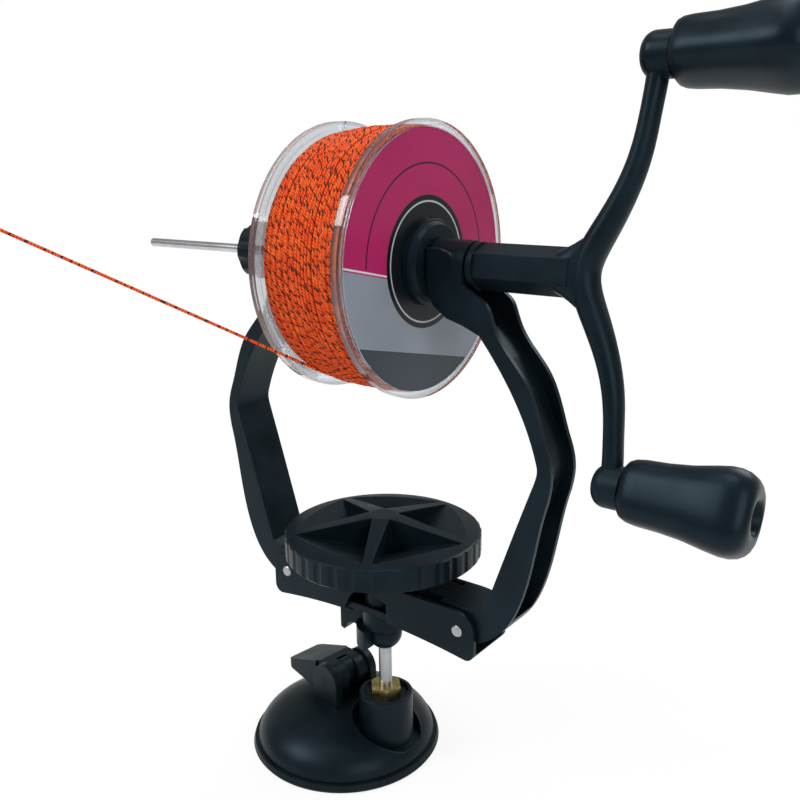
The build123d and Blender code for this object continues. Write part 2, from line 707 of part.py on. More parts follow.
def crank_section(s):
    """The bar's oval section at height s from the spindle: middle, half thickness, half width."""
    out = CRANK_DISH * (1 - math.exp(-((abs(s) / CRANK_DISH_R) ** 1.7)))
    step = 0.5
    near = math.exp(-((abs(abs(s) - step) / CRANK_DISH_R) ** 1.7))
    far = math.exp(-(((abs(s) + step) / CRANK_DISH_R) ** 1.7))
    slope = CRANK_DISH * (near - far) / (2 * step)
    swell = math.exp(-((s / CRANK_TAPER_R) ** 2))
    thick = CRANK_THICK[1] + (CRANK_THICK[0] - CRANK_THICK[1]) * swell
    wide = CRANK_WIDE[1] + (CRANK_WIDE[0] - CRANK_WIDE[1]) * swell
    return CRANK_HUB_X + out, thick * math.hypot(1, slope), wide


def crank():
    """Six-sided sleeve with two dished oval arms and a knuckle at each end."""
    stations = [CRANK_R * share for share in (-0.96, -0.78, -0.6, -0.44, -0.28, -0.13)]
    stations += [0.0] + [-s for s in reversed(stations)]
    sections = []
    for s in stations:
        middle, thick, wide = crank_section(s)
        sections.append(Pos(middle, 0, s) * Ellipse(thick, wide))
    body = loft(sections)
    for end in (-1, 1):
        knuckle = Pos(KNUCKLE_X, 0, end * CRANK_R) * Rot(0, 90, 0) * tube(KNUCKLE_R, 0, 0, KNUCKLE_L)
        knuckle = fillet(knuckle.edges().filter_by(GeomType.CIRCLE).sort_by(Axis.X)[0], 0.6 * KNUCKLE_R)
        body += knuckle
    body = STUD_AXIS * Pos(0, 0, SPINDLE_Z) * Rot(-CRANK_LEAN, 0, 0) * body
    start = HEAD_RIGHT + BOSS_TUBE_L / 2 + ROCK_GAP + COLLAR_T
    body += hex_sleeve(start, STUD_X + SLEEVE_END)
    body -= x_tube(ROD_R + RUN_GAP, 0, start - 1, STUD_X + SLEEVE_END - 3)
    for end in (-1, 1):
        body -= grip_axis(end) * tube(SPINDLE_PIN_R, 0, 3.0, KNUCKLE_L + 1)
    return body


def grip_axis(end):
    """Frame at a knuckle's inner face with Z along the grip; end is 1 at the top, -1 below."""
    lean = math.radians(CRANK_LEAN)
    y = end * CRANK_R * math.sin(lean)
    z = SPINDLE_Z + end * CRANK_R * math.cos(lean)
    return Pos(STUD_X + KNUCKLE_X, y, z) * Rot(0, 90, 0)


def crank_collar():
    start = HEAD_RIGHT + BOSS_TUBE_L / 2 + ROCK_GAP
    ring = x_tube(COLLAR_R, ROD_R + RUN_GAP, start, start + COLLAR_T)
    return chamfer(ring.edges().filter_by(GeomType.CIRCLE).sort_by(Axis.X)[0:2], 0.3)


GRIP_START = KNUCKLE_L + FACE_GAP


def handle(end, turn):
    """Swelling grip with two flatter sides, a bore for its spindle and a dished end."""
    sections = []
    for along, wide, thick in GRIP_SECTIONS:
        half_w = wide * GRIP_R
        half_t = thick * GRIP_R
        outline = RectangleRounded(2 * half_w, 2 * half_t, GRIP_CORNER * half_t)
        sections.append(Pos(0, 0, along * GRIP_L) * outline)
    grip = loft(sections)
    grip -= tube(SPINDLE_PIN_R + RUN_GAP, 0, -1, GRIP_L + 1)
    grip -= tube(GRIP_BORE_R, 0, GRIP_L - GRIP_BORE_DEPTH, GRIP_L + 1)
    return grip_axis(end) * Pos(0, 0, GRIP_START) * Rot(0, 0, turn) * grip


def handle_spindle(end):
    """Shoulder screw from the knuckle to the bottom of the grip's dished end."""
    seat = GRIP_START + GRIP_L - GRIP_BORE_DEPTH + FACE_GAP
    screw = tube(SPINDLE_PIN_R, 0, 3.0, seat)
    screw += tube(SPINDLE_HEAD_R, 0, seat, seat + SPINDLE_HEAD_T)
    screw -= Pos(0, 0, seat + SPINDLE_HEAD_T) * Box(1.2, 2 * SPINDLE_HEAD_R, 2.4)
    return grip_axis(end) * screw


def lobed_nut():
    """Hand nut with a long hub that runs along the rod."""
    left = STUD_X - LOBE_NUT_LEFT
    right = left + LOBE_NUT_L
    head = x_tube(LOBE_NUT_R, 0, left, right)
    head = chamfer(head.edges().filter_by(GeomType.CIRCLE), 1.5)
    lobe = tube(LOBE_CUT_R, 0, -1, LOBE_NUT_L + 1)
    reach = LOBE_NUT_R + LOBE_CUT_R - 1.6
    cuts = [Rot(0, 0, (i + 0.5) * 360 / LOBES) * Pos(reach, 0, 0) * lobe for i in range(LOBES)]
    head -= [Pos(left, 0, SPINDLE_Z) * Rot(0, 90, 0) * cut for cut in cuts]
    hub_end = HEAD_LEFT - BOSS_TUBE_L / 2 - ROCK_GAP - COLLAR_T
    head += x_tube(NUT_HUB_R, 0, right - 1, hub_end)
    return head - x_tube(ROD_R, 0, left - 1, hub_end + 1)


def nut_washer():
    end = HEAD_LEFT - BOSS_TUBE_L / 2 - ROCK_GAP
    return x_tube(COLLAR_R, ROD_R, end - COLLAR_T, end)


# --- spool and winding ---

def spool():
    """Clear spool: two flanges with thickened rims on one tube."""
    body = x_tube(SPOOL_TUBE_R, SPOOL_TUBE_R - SPOOL_TUBE_WALL, LEFT_FACE + FLANGE_INSET, RIGHT_FACE - FLANGE_INSET)
    for face, inward in ((LEFT_FACE, 1), (RIGHT_FACE, -1)):
        plate_a = face + inward * FLANGE_INSET
        plate_b = plate_a + inward * FLANGE_PLATE
        body += x_tube(SPOOL_R - RIM_W + 0.2, SPOOL_BORE_R, min(plate_a, plate_b), max(plate_a, plate_b))
        rim_end = face + inward * RIM_T
        body += x_tube(SPOOL_R, SPOOL_R - RIM_W, min(face, rim_end), max(face, rim_end))
    slit = Pos(LEFT_FACE + RIM_T / 2, 0, SPINDLE_Z + SPOOL_R) * Box(RIM_T + 1, SLIT_W, 2 * SLIT_DEPTH)
    return body - slit


WIND_LEFT = LEFT_FACE + FLANGE_INSET + FLANGE_PLATE + WIND_SIDE_GAP
WIND_RIGHT = RIGHT_FACE - FLANGE_INSET - FLANGE_PLATE - WIND_SIDE_GAP


def wind_radius(x):
    """Radius of the outer layer's middle line: fuller towards the crank side."""
    t = (x - WIND_LEFT) / (WIND_RIGHT - WIND_LEFT)
    rise = math.sin(min(t / 0.55, 1.0) * math.pi / 2)
    return WIND_R_LEFT + (WIND_R_MID - WIND_R_LEFT) * rise


def winding_core():
    inset = LINE_D / 2 + WIND_CORE_GAP
    steps = 8
    span = WIND_RIGHT - WIND_LEFT
    marks = [WIND_LEFT + span * i / steps for i in range(steps + 1)]
    outline = [(x, wind_radius(x) - inset) for x in marks]
    outline += [(WIND_RIGHT, SPOOL_TUBE_R + 0.1), (WIND_LEFT, SPOOL_TUBE_R + 0.1)]
    return spun_about_x(outline)


def biarc(p0, t0, p1, t1):
    """Two arcs from p0 to p1 that leave and arrive along the unit tangents t0 and t1."""
    v = p1 - p0
    t = t0 + t1
    a = 2 * (1 - t0.dot(t1))
    b = 2 * v.dot(t)
    c = -v.dot(v)
    if abs(a) < 1e-9:
        reach = -c / b
    else:
        reach = (-b + math.sqrt(b * b - 4 * a * c)) / (2 * a)
    joint = (p0 + t0 * reach + p1 - t1 * reach) * 0.5
    first = TangentArc(p0, joint, tangent=t0)
    second = TangentArc(joint, p1, tangent=first % 1)
    return [first, second]


def winding_turns():
    """The outer layer of line: one unbroken tube of biarcs, a quarter turn each."""
    start_x = WIND_LEFT + LINE_D / 2
    pitch = (WIND_RIGHT - WIND_LEFT - LINE_D) / TURNS
    quarters = 4 * TURNS
    points = []
    tangents = []
    for i in range(quarters + 1):
        angle = math.radians(90 * i - 60)
        x = start_x + pitch * i / 4
        r = wind_radius(x)
        slope = (wind_radius(x + 0.1) - wind_radius(x - 0.1)) / 0.2 * pitch / (2 * math.pi)
        points.append(Vector(x, -r * math.cos(angle), SPINDLE_Z + r * math.sin(angle)))
        way = Vector(
            pitch / (2 * math.pi),
            r * math.sin(angle) - slope * math.cos(angle),
            r * math.cos(angle) + slope * math.sin(angle),
        )
        tangents.append(way.normalized())
    edges = [Line(points[0] - tangents[0] * LINE_D, points[0])]
    for i in range(quarters):
        edges += biarc(points[i], tangents[i], points[i + 1], tangents[i + 1])
    edges.append(Line(points[-1], points[-1] + tangents[-1] * LINE_D))
    path = Wire(edges)
    section = Plane(origin=path @ 0, z_dir=path % 0) * RegularPolygon(LINE_D / 2, 6)
    turns = sweep(section, path=path)
    rise = max(abs(wind_radius(start_x + pitch * (i + 1)) - wind_radius(start_x + pitch * i)) for i in range(TURNS))
    gap = math.hypot(pitch, rise) - LINE_D
    print(f"winding: {TURNS} turns, pitch {pitch:.2f}, least gap to itself {gap:.2f} mm")
    return turns


def side_label():
    """Printed disc in the crank-side flange."""
    inner = CONE_FLANGE_R + 0.3
    face = RIGHT_FACE - FLANGE_INSET
    return x_tube(SPOOL_R - RIM_W - 0.1, inner, face, face + LABEL_T)


# --- free line ---

LINE_START = (17.4, -28.1, 189.8)  # touches the winding's edge here
LINE_END = (-36.0, -137.0, 256.0)


def free_line():
    """Line drawn tight off the winding; one straight run."""
    path = Line(LINE_START, LINE_END)
    section = Plane(origin=path @ 0, z_dir=path % 0) * Circle(FREE_LINE_D / 2)
    print(f"free line: {path.length:.1f} mm, straight")
    return sweep(section, path=path)


def line_loop():
    """Small tied loop at the line's end."""
    path = Line(LINE_START, LINE_END)
    end = path @ 1
    way = path % 1
    knot = Plane(origin=end, z_dir=way) * Pos(0, 0, KNOT_R) * Sphere(KNOT_R)
    side = Vector(0, 0, 1).cross(way).normalized()
    middle = end + way * (2 * KNOT_R + LOOP_R - FREE_LINE_D)
    ring = Plane(origin=middle, z_dir=side) * Torus(LOOP_R, FREE_LINE_D / 2)
    return knot + ring


NODES = {
    "suction_cup": suction_cup,
    "dome_housing": dome_housing,
    "lever_pin": lever_pin,
    "cup_stem": cup_stem,
    "cam_lever": cam_lever,
    "barrel_insert": barrel_insert,
    "lock_nut": lock_nut,
    "stud": stud,
    "ball_nut": ball_nut,
    "bracket": bracket,
    "ball_claw": ball_claw,
    "clamp_bolt": clamp_bolt,
    "pivot_pin_left": lambda: pivot_pin(-1),
    "pivot_pin_right": lambda: pivot_pin(1),
    "width_knob": width_knob,
    "knob_insert": knob_insert,
    "thrust_washer": thrust_washer,
    "arm_left": lambda: arm(-1, "arm_left"),
    "arm_right": lambda: arm(1, "arm_right"),
    "bush_left": lambda: rocking_bush(HEAD_LEFT),
    "bush_right": lambda: rocking_bush(HEAD_RIGHT),
    "axle_rod": axle_rod,
    "drive_cone": drive_cone,
    "idle_cone": idle_cone,
    "crank": crank,
    "crank_collar": crank_collar,
    "handle_top": lambda: handle(1, GRIP_TURNS[0]),
    "handle_bottom": lambda: handle(-1, GRIP_TURNS[1]),
    "handle_spindle_top": lambda: handle_spindle(1),
    "handle_spindle_bottom": lambda: handle_spindle(-1),
    "lobed_nut": lobed_nut,
    "nut_washer": nut_washer,
    "spool": spool,
    "side_label": side_label,
    "winding_core": winding_core,
    "winding_turns": winding_turns,
    "free_line": free_line,
    "line_loop": line_loop,
}

for node, make in NODES.items():
    save(make(), node)
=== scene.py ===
import math
import random

import bmesh
import bpy
from mathutils import Matrix, Vector


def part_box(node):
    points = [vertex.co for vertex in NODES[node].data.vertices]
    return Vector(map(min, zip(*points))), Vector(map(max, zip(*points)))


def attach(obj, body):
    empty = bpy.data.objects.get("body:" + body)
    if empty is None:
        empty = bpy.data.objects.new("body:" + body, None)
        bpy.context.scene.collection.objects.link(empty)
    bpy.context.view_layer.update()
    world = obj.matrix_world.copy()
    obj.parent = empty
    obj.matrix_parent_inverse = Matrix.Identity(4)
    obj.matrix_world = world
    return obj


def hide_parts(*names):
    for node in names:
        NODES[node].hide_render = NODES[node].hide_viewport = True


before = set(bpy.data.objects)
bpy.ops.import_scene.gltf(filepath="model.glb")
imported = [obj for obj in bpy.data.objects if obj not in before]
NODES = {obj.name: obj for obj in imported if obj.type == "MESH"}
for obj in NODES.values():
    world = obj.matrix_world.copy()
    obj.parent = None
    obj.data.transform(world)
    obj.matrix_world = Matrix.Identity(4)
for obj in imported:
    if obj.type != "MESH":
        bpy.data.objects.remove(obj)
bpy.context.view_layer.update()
random.seed(7)

# Fishing line winder, dressed for its photograph. Metres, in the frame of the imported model.
MM = 0.001

# ---------------------------------------------------------------- places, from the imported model

def middle(name):
    low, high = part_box(name)
    return [(a + b) / 2 for a, b in zip(low, high)]


def reach(name, axis):
    low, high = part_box(name)
    return low[axis], high[axis]


SPINDLE = middle("axle_rod")
SPINDLE_Z = SPINDLE[2]
STUD_X = middle("stud")[0]
SPOOL_RADIUS = (reach("spool", 2)[1] - reach("spool", 2)[0]) / 2
WIND_LEFT, WIND_RIGHT = reach("winding_turns", 0)

# ---------------------------------------------------------------- sizes of the dressed pieces

# Winding
LINE_DIAMETER = 1.25 * MM
WIND_TURNS = 23
STEPS_PER_TURN = 64
STRAND_SIDES = 8
WIND_RADIUS_LEFT = 48.9 * MM
WIND_RADIUS_MIDDLE = 51.2 * MM
WIND_SHOULDER = 0.55  # share of the width over which the winding swells
TURN_LENGTH = 2 * math.pi * 50.0  # mm of line in one turn, for the lay of its flecks
LAY_WOBBLE = 0.35 * MM  # how far a turn strays along the spindle
LAY_START = 0.6  # radians
UNDER_DEPTH = 0.42 * MM
UNDER_WOBBLE = 0.3 * MM
CROSSING_STRANDS = 5
CROSSING_TURNS = 3.4
CROSSING_LIFT = 0.42 * MM
CROSSING_WOBBLE = 1.0 * MM
CROSSING_FIRST = 0.04  # shares of the winding's width
CROSSING_STEP = 0.19
CROSSING_WIDTH = 0.14

# Free line, the same points as the solid's route
LINE_ROUTE = (
    (0.0174, -0.0281, 0.1898),
    (-0.0093, -0.08255, 0.2229),
    (-0.0360, -0.1370, 0.2560),
)
FREE_LINE_DIAMETER = 1.2 * MM
LINE_LAYER = 1.1 * MM  # from one ring of packed line to the next
LINE_ORANGES = ((0.86, 0.078, 0.008), (0.95, 0.155, 0.018))

# Clear spool rim: where its tint deepens, inwards from the edge
RIM_FROM = 1.4 * MM
RIM_TO = 0.5 * MM

# Side print
LABEL_BLACK_RADIUS = 26.0 * MM
LABEL_RING_WIDTH = 0.7 * MM
LABEL_RING_INSET = 2.4 * MM
LABEL_HALO_RADIUS = 38.0 * MM
LABEL_LEAN = -0.22  # rise of the straight borders along the disc
LABEL_SHORE = -9.5 * MM  # height of the plum field's foot above the spindle
LABEL_DEEP = -37.0 * MM
LABEL_RULE_RISE = 0.9 * MM
LABEL_RULE_WIDTH = 0.7 * MM

# Camera, fitted to the photograph's edges
CAMERA_AT = (0.26272, -0.29643, 0.27464)
CAMERA_AZIMUTH = 37.49
CAMERA_DOWN = 14.99
CAMERA_ROLL = -0.70
CAMERA_LENS = 41.5  # mm on a 36 mm sensor


# ---------------------------------------------------------------- node helpers

def new_material(name):
    mat = bpy.data.materials.new(name)
    mat.use_nodes = True
    nodes = mat.node_tree.nodes
    nodes.clear()
    out = nodes.new("ShaderNodeOutputMaterial")
    skin = nodes.new("ShaderNodeBsdfPrincipled")
    mat.node_tree.links.new(skin.outputs["BSDF"], out.inputs["Surface"])
    return mat, nodes, mat.node_tree.links, skin


def new_group(name, inputs, outputs):
    """A node group with float or colour sockets; returns its tree and its two end nodes."""
    tree = bpy.data.node_groups.new(name, "ShaderNodeTree")
    kinds = {"f": "NodeSocketFloat", "c": "NodeSocketColor", "v": "NodeSocketVector"}
    for label, kind, value in inputs:
        socket = tree.interface.new_socket(label, in_out="INPUT", socket_type=kinds[kind])
        if value is not None:
            socket.default_value = value
    for label, kind in outputs:
        tree.interface.new_socket(label, in_out="OUTPUT", socket_type=kinds[kind])
    return tree, tree.nodes.new("NodeGroupInput"), tree.nodes.new("NodeGroupOutput")


def put_group(nodes, tree, **values):
    node = nodes.new("ShaderNodeGroup")
    node.node_tree = tree
    for label, value in values.items():
        node.inputs[label.replace("_", " ")].default_value = value
    return node


def calc(nodes, links, how, a, b=None, clamp=False):
    """One Math node; a and b are sockets or numbers."""
    node = nodes.new("ShaderNodeMath")
    node.operation = how
    node.use_clamp = clamp
    for i, value in enumerate((a, b)):
        if value is None:
            continue
        if isinstance(value, (int, float)):
            node.inputs[i].default_value = value
        else:
            links.new(value, node.inputs[i])
    return node.outputs[0]


def mix_colour(nodes, links, factor, a, b):
    """Colour a where factor is 0, b where it is 1; each is a socket or a colour."""
    node = nodes.new("ShaderNodeMix")
    node.data_type = "RGBA"
    for i, value in ((0, factor), (6, a), (7, b)):
        if isinstance(value, (tuple, list)):
            node.inputs[i].default_value = (*value, 1.0) if len(value) == 3 else value
        elif isinstance(value, (int, float)):
            node.inputs[i].default_value = value
        else:
            links.new(value, node.inputs[i])
    return node.outputs[2]


def noise(nodes, links, where, scale, detail=3.0, rough=0.5):
    node = nodes.new("ShaderNodeTexNoise")
    node.inputs["Scale"].default_value = scale
    node.inputs["Detail"].default_value = detail
    node.inputs["Roughness"].default_value = rough
    if where is not None:
        links.new(where, node.inputs["Vector"])
    return node.outputs["Fac"]


def spread(nodes, links, value, low, high, to_low=0.0, to_high=1.0):
    """Maps low..high onto to_low..to_high, clamped."""
    node = nodes.new("ShaderNodeMapRange")
    links.new(value, node.inputs["Value"])
    node.inputs["From Min"].default_value = low
    node.inputs["From Max"].default_value = high
    node.inputs["To Min"].default_value = to_low
    node.inputs["To Max"].default_value = to_high
    return node.outputs["Result"]


def object_place(nodes):
    return nodes.new("ShaderNodeTexCoord").outputs["Object"]


def bump(nodes, links, skin, height, distance, strength=1.0, over=None):
    node = nodes.new("ShaderNodeBump")
    if over is not None:
        links.new(over, node.inputs["Normal"])
    node.inputs["Distance"].default_value = distance
    node.inputs["Strength"].default_value = strength
    links.new(height, node.inputs["Height"])
    links.new(node.outputs["Normal"], skin.inputs["Normal"])


# ---------------------------------------------------------------- shared effects

def moulded_grain_group():
    """Fine spark-eroded grain, slow flow marks and a little handling shine."""
    tree, into, out = new_group(
        "moulded_grain",
        [("Grain", "f", 2600.0), ("Flow", "f", 55.0), ("Rough Low", "f", 0.3), ("Rough High", "f", 0.5)],
        [("Height", "f"), ("Roughness", "f"), ("Tone", "f")],
    )
    nodes, links = tree.nodes, tree.links
    place = object_place(nodes)
    fine = nodes.new("ShaderNodeTexNoise")
    links.new(place, fine.inputs["Vector"])
    links.new(into.outputs["Grain"], fine.inputs["Scale"])
    slow = nodes.new("ShaderNodeTexNoise")
    slow.inputs["Detail"].default_value = 4.0
    links.new(place, slow.inputs["Vector"])
    links.new(into.outputs["Flow"], slow.inputs["Scale"])
    swell = calc(nodes, links, "MULTIPLY", slow.outputs["Fac"], 0.6)
    height = calc(nodes, links, "ADD", fine.outputs["Fac"], swell)
    links.new(height, out.inputs["Height"])
    tone = spread(nodes, links, slow.outputs["Fac"], 0.3, 0.7)
    links.new(tone, out.inputs["Tone"])
    span = calc(nodes, links, "SUBTRACT", into.outputs["Rough High"], into.outputs["Rough Low"])
    rough = calc(nodes, links, "ADD", into.outputs["Rough Low"], calc(nodes, links, "MULTIPLY", span, tone))
    links.new(rough, out.inputs["Roughness"])
    return tree


def twist_group():
    """Twisted line: Along in millimetres and Around from 0 to 1 give the lay, flecks, height and the mask
    of painted shade in the grooves between the strands.
    """
    tree, into, out = new_group(
        "twist",
        [("Along", "f", 0.0), ("Around", "f", 0.0), ("Lay", "f", 2.4), ("Fleck", "f", 4.3)],
        [("Fleck Mask", "f"), ("Painted Groove Shade", "f"), ("Height", "f")],
    )
    nodes, links = tree.nodes, tree.links
    tau = 2 * math.pi
    lay = calc(nodes, links, "DIVIDE", into.outputs["Along"], into.outputs["Lay"])
    phase = calc(nodes, links, "MULTIPLY", calc(nodes, links, "ADD", lay, into.outputs["Around"]), 2 * tau)
    wave = calc(nodes, links, "COSINE", phase)
    links.new(wave, out.inputs["Height"])
    # painted shade mask: 1 in the grooves between the twisted strands, where shade falls
    links.new(spread(nodes, links, wave, -1.0, -0.2, 1.0, 0.0), out.inputs["Painted Groove Shade"])
    count = calc(nodes, links, "DIVIDE", into.outputs["Along"], into.outputs["Fleck"])
    jitter = nodes.new("ShaderNodeTexNoise")
    jitter.noise_dimensions = "1D"
    jitter.inputs["Scale"].default_value = 0.07
    links.new(into.outputs["Along"], jitter.inputs["W"])
    count = calc(nodes, links, "ADD", count, calc(nodes, links, "MULTIPLY", jitter.outputs["Fac"], 2.2))
    turned = calc(nodes, links, "MULTIPLY", calc(nodes, links, "ADD", count, into.outputs["Around"]), tau)
    fleck = spread(nodes, links, calc(nodes, links, "COSINE", turned), 0.70, 0.90)
    links.new(fleck, out.inputs["Fleck Mask"])
    return tree


GRAIN = moulded_grain_group()
TWIST = twist_group()


# ---------------------------------------------------------------- finishes

def black_moulding(name, colour, rough, grain_depth, edge, shine):
    """Black moulded plastic; edge is the radius to which its corners are rounded."""
    mat, nodes, links, skin = new_material(name)
    corner = nodes.new("ShaderNodeBevel")
    corner.samples = 4
    corner.inputs["Radius"].default_value = edge
    grain = put_group(nodes, GRAIN, Rough_Low=rough[0], Rough_High=rough[1])
    pale = tuple(c * 1.9 + 0.0012 for c in colour)
    links.new(mix_colour(nodes, links, grain.outputs["Tone"], colour, pale), skin.inputs["Base Color"])
    links.new(grain.outputs["Roughness"], skin.inputs["Roughness"])
    skin.inputs["Specular IOR Level"].default_value = shine
    skin.inputs["Specular Tint"].default_value = (0.55, 0.82, 1.0, 1.0)
    bump(nodes, links, skin, grain.outputs["Height"], grain_depth, 0.55, corner.outputs["Normal"])
    return mat


def turned_steel(name, axis, colour, smoothest=0.16):
    """Bright steel with fine lathe rings along axis 0, 1 or 2."""
    mat, nodes, links, skin = new_material(name)
    place = object_place(nodes)
    parts = nodes.new("ShaderNodeSeparateXYZ")
    links.new(place, parts.inputs[0])
    rings = nodes.new("ShaderNodeTexNoise")
    rings.noise_dimensions = "1D"
    rings.inputs["Scale"].default_value = 4200.0
    rings.inputs["Detail"].default_value = 4.0
    links.new(parts.outputs[axis], rings.inputs["W"])
    cloud = noise(nodes, links, place, 90.0, 4.0)
    dull = tuple(c * 0.72 for c in colour)
    tone = mix_colour(nodes, links, spread(nodes, links, cloud, 0.35, 0.7), colour, dull)
    links.new(tone, skin.inputs["Base Color"])
    skin.inputs["Metallic"].default_value = 1.0
    rough = calc(nodes, links, "ADD", calc(nodes, links, "MULTIPLY", rings.outputs["Fac"], 0.16), smoothest)
    links.new(rough, skin.inputs["Roughness"])
    bump(nodes, links, skin, rings.outputs["Fac"], 0.00002, 0.5)
    return mat


def worn_brass():
    mat, nodes, links, skin = new_material("worn_brass")
    place = object_place(nodes)
    cloud = spread(nodes, links, noise(nodes, links, place, 260.0, 5.0, 0.6), 0.35, 0.65)
    tone = mix_colour(nodes, links, cloud, (0.50, 0.40, 0.16), (0.24, 0.20, 0.09))
    links.new(tone, skin.inputs["Base Color"])
    skin.inputs["Metallic"].default_value = 1.0
    links.new(spread(nodes, links, cloud, 0.0, 1.0, 0.24, 0.46), skin.inputs["Roughness"])
    bump(nodes, links, skin, noise(nodes, links, place, 1500.0), 0.00002, 0.6)
    return mat


def radius_from_spindle(nodes, links):
    parts = nodes.new("ShaderNodeSeparateXYZ")
    links.new(object_place(nodes), parts.inputs[0])
    up = calc(nodes, links, "SUBTRACT", parts.outputs[2], SPINDLE_Z)
    across_squared = calc(nodes, links, "POWER", parts.outputs[1], 2.0)
    up_squared = calc(nodes, links, "POWER", up, 2.0)
    return calc(nodes, links, "SQRT", calc(nodes, links, "ADD", across_squared, up_squared))


def clear_moulding():
    """Clear spool plastic: faint grey-blue, with flow ripples and fine rubbing on its rims."""
    mat, nodes, links, skin = new_material("clear_moulding")
    place = object_place(nodes)
    ripple = noise(nodes, links, place, 45.0, 2.0)
    rub = spread(nodes, links, noise(nodes, links, place, 900.0, 4.0), 0.55, 0.75)
    slow = spread(nodes, links, ripple, 0.3, 0.7)
    tint = mix_colour(nodes, links, slow, (0.56, 0.70, 0.78), (0.64, 0.76, 0.83))
    radius = radius_from_spindle(nodes, links)
    edge = spread(nodes, links, radius, SPOOL_RADIUS - RIM_FROM, SPOOL_RADIUS - RIM_TO)
    links.new(mix_colour(nodes, links, edge, tint, (0.52, 0.49, 0.50)), skin.inputs["Base Color"])
    links.new(spread(nodes, links, rub, 0.0, 1.0, 0.03, 0.16), skin.inputs["Roughness"])
    skin.inputs["IOR"].default_value = 1.49
    skin.inputs["Transmission Weight"].default_value = 0.94
    links.new(spread(nodes, links, edge, 0.0, 1.0, 0.62, 1.0), skin.inputs["Alpha"])
    bump(nodes, links, skin, ripple, 0.0001, 0.35)
    return mat


def line_finish(name, along, around):
    """Orange twisted line with dark flecks and painted shade in the grooves between its strands; along and
    around build the two coordinates.
    """
    mat, nodes, links, skin = new_material(name)
    lay = put_group(nodes, TWIST)
    links.new(along(nodes, links), lay.inputs["Along"])
    links.new(around(nodes, links), lay.inputs["Around"])
    place = object_place(nodes)
    patch = spread(nodes, links, noise(nodes, links, place, 210.0, 4.0), 0.35, 0.68)
    orange = mix_colour(nodes, links, patch, *LINE_ORANGES)
    # painted shade: the grooves between the strands are darkened towards a dark orange
    painted_groove_shade = calc(nodes, links, "MULTIPLY", lay.outputs["Painted Groove Shade"], 0.75)
    shaded = mix_colour(nodes, links, painted_groove_shade, orange, (0.30, 0.018, 0.003))
    flecked = mix_colour(nodes, links, lay.outputs["Fleck Mask"], shaded, (0.075, 0.012, 0.006))
    links.new(flecked, skin.inputs["Base Color"])
    skin.inputs["Roughness"].default_value = 0.6
    skin.inputs["Specular IOR Level"].default_value = 0.2
    bump(nodes, links, skin, lay.outputs["Height"], 0.00025, 0.8)
    return mat


def inner_line():
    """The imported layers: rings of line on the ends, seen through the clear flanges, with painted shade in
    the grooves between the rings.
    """
    mat, nodes, links, skin = new_material("inner_line")
    place = object_place(nodes)
    stray = calc(nodes, links, "MULTIPLY", noise(nodes, links, place, 70.0, 3.0), 2.0 * MM)
    radius = calc(nodes, links, "ADD", radius_from_spindle(nodes, links), stray)
    wave = calc(nodes, links, "COSINE", calc(nodes, links, "MULTIPLY", radius, 2 * math.pi / LINE_LAYER))
    # painted shade: the grooves between the rings of packed line get the darker orange
    ring = spread(nodes, links, wave, -0.9, 0.6)
    dash = spread(nodes, links, noise(nodes, links, place, 620.0, 2.0), 0.60, 0.68)
    strand = mix_colour(nodes, links, dash, LINE_ORANGES[1], (0.16, 0.022, 0.008))
    rings = mix_colour(nodes, links, ring, (0.46, 0.035, 0.005), strand)
    links.new(rings, skin.inputs["Base Color"])
    skin.inputs["Roughness"].default_value = 0.65
    skin.inputs["Specular IOR Level"].default_value = 0.1
    bump(nodes, links, skin, wave, 0.0003, 0.6)
    return mat


def uv_axis(layer, index):
    def build(nodes, links):
        uv = nodes.new("ShaderNodeUVMap")
        uv.uv_map = layer
        parts = nodes.new("ShaderNodeSeparateXYZ")
        links.new(uv.outputs["UV"], parts.inputs[0])
        return parts.outputs[index]
    return build


def along_direction(direction, per_unit):
    """Distance along a fixed direction of the object's own coordinates, times per_unit."""
    def build(nodes, links):
        dot = nodes.new("ShaderNodeVectorMath")
        dot.operation = "DOT_PRODUCT"
        links.new(object_place(nodes), dot.inputs[0])
        dot.inputs[1].default_value = direction
        return calc(nodes, links, "MULTIPLY", dot.outputs["Value"], per_unit)
    return build


